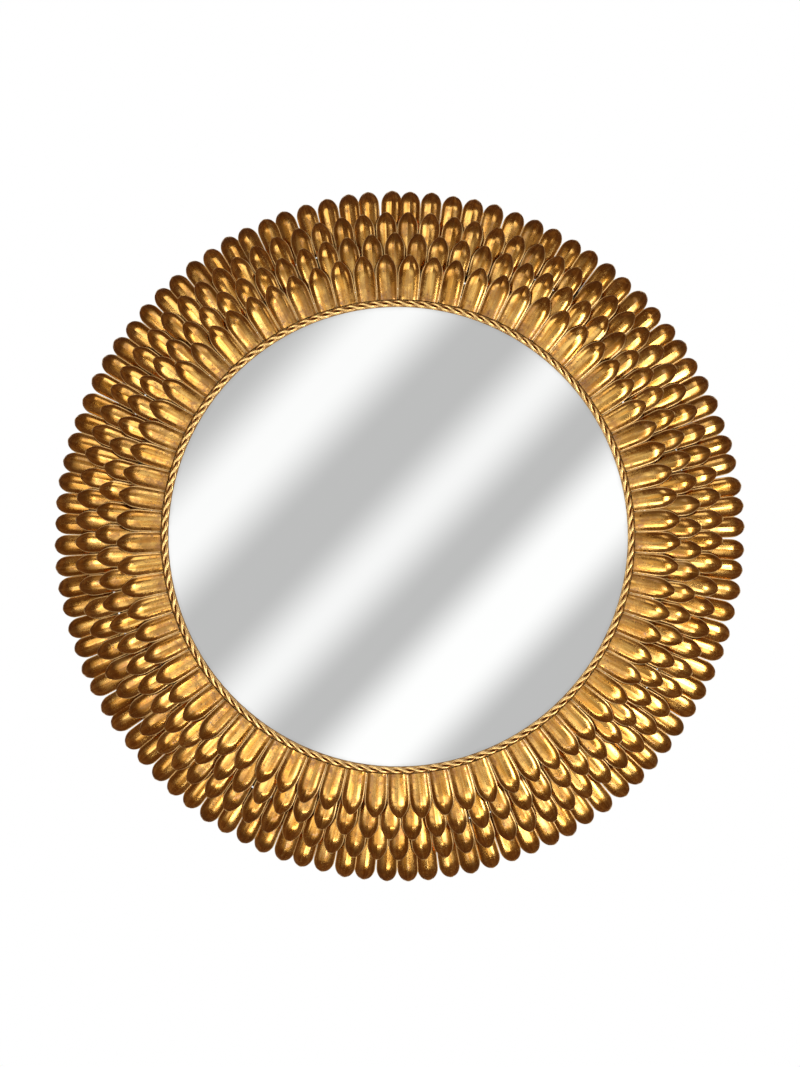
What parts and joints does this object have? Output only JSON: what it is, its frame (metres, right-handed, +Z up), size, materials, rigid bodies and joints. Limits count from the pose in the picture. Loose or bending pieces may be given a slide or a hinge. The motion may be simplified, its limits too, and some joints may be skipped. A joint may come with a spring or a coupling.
{
  "type": "round wall mirror",
  "caption": "Round flat wall mirror with a twisted-wire bezel and a gilt metal frame of four overlapping tiers of curled petals.",
  "frame": {"origin": "hinge line of the hanging ring, at the top of the back, in the middle of its width", "axes": "+Z up the wall, -Y out of the front of the mirror, +X to the right as seen from the front"},
  "size_m": [0.5998, 0.0636, 0.5998],
  "materials": {
    "gilt_sheet": "satin gilt with worn brown patina",
    "gilt_wire": "satin gilt",
    "gilt_bezel": "satin gilt",
    "dark_steel": "matt dark brown paint",
    "mirror": "silvered",
    "felt": "felt",
    "hardboard": "hardboard",
    "brass": "plain",
    "steel": "zinc plated",
    "rubber": "matt"
  },
  "bodies": {
    "frame": {"back_ring": "dark_steel", "backing_board": "hardboard", "bezel_ring": "gilt_bezel", "glass_packing": "felt", "hanger_rivets": "steel", "hanger_strap": "steel", "mirror_glass": "mirror", "petal_hoop_1": "dark_steel", "petal_hoop_2": "dark_steel", "petal_hoop_3": "dark_steel", "petal_hoop_4": "dark_steel", "petals_tier_1": "gilt_sheet", "petals_tier_2": "gilt_sheet", "petals_tier_3": "gilt_sheet", "petals_tier_4": "gilt_sheet", "rib_1": "dark_steel", "rib_2": "dark_steel", "rib_3": "dark_steel", "rib_4": "dark_steel", "rib_5": "dark_steel", "rib_6": "dark_steel", "rib_7": "dark_steel", "rib_8": "dark_steel", "rope_strand_a": "gilt_wire", "rope_strand_b": "gilt_wire", "turn_button_screws": "brass", "wall_pad_1": "rubber", "wall_pad_2": "rubber", "wall_pad_3": "rubber", "wall_pad_4": "rubber"},
    "hanging_ring": {"hanger_ring": "steel"},
    "button_1": {"turn_button_1": "brass"},
    "button_2": {"turn_button_2": "brass"},
    "button_3": {"turn_button_3": "brass"},
    "button_4": {"turn_button_4": "brass"}
  },
  "joints": [
    {"name": "hanging_ring_swing", "type": "hinge", "parent": "frame", "child": "hanging_ring", "pos_m": [0, 0, 0], "axis": [1, 0, 0], "range_deg": [0, 180]},
    {"name": "turn_button_1_swivel", "type": "hinge", "parent": "frame", "child": "button_1", "pos_m": [0, -0.04237, -0.04925], "axis": [0, 1, 0], "range_deg": [0, 90]},
    {"name": "turn_button_2_swivel", "type": "hinge", "parent": "frame", "child": "button_2", "pos_m": [-0.20575, -0.04237, -0.255], "axis": [0, 1, 0], "range_deg": [0, 90]},
    {"name": "turn_button_3_swivel", "type": "hinge", "parent": "frame", "child": "button_3", "pos_m": [0, -0.04237, -0.46075], "axis": [0, 1, 0], "range_deg": [0, 90]},
    {"name": "turn_button_4_swivel", "type": "hinge", "parent": "frame", "child": "button_4", "pos_m": [0.20575, -0.04237, -0.255], "axis": [0, 1, 0], "range_deg": [0, 90]}
  ]
}
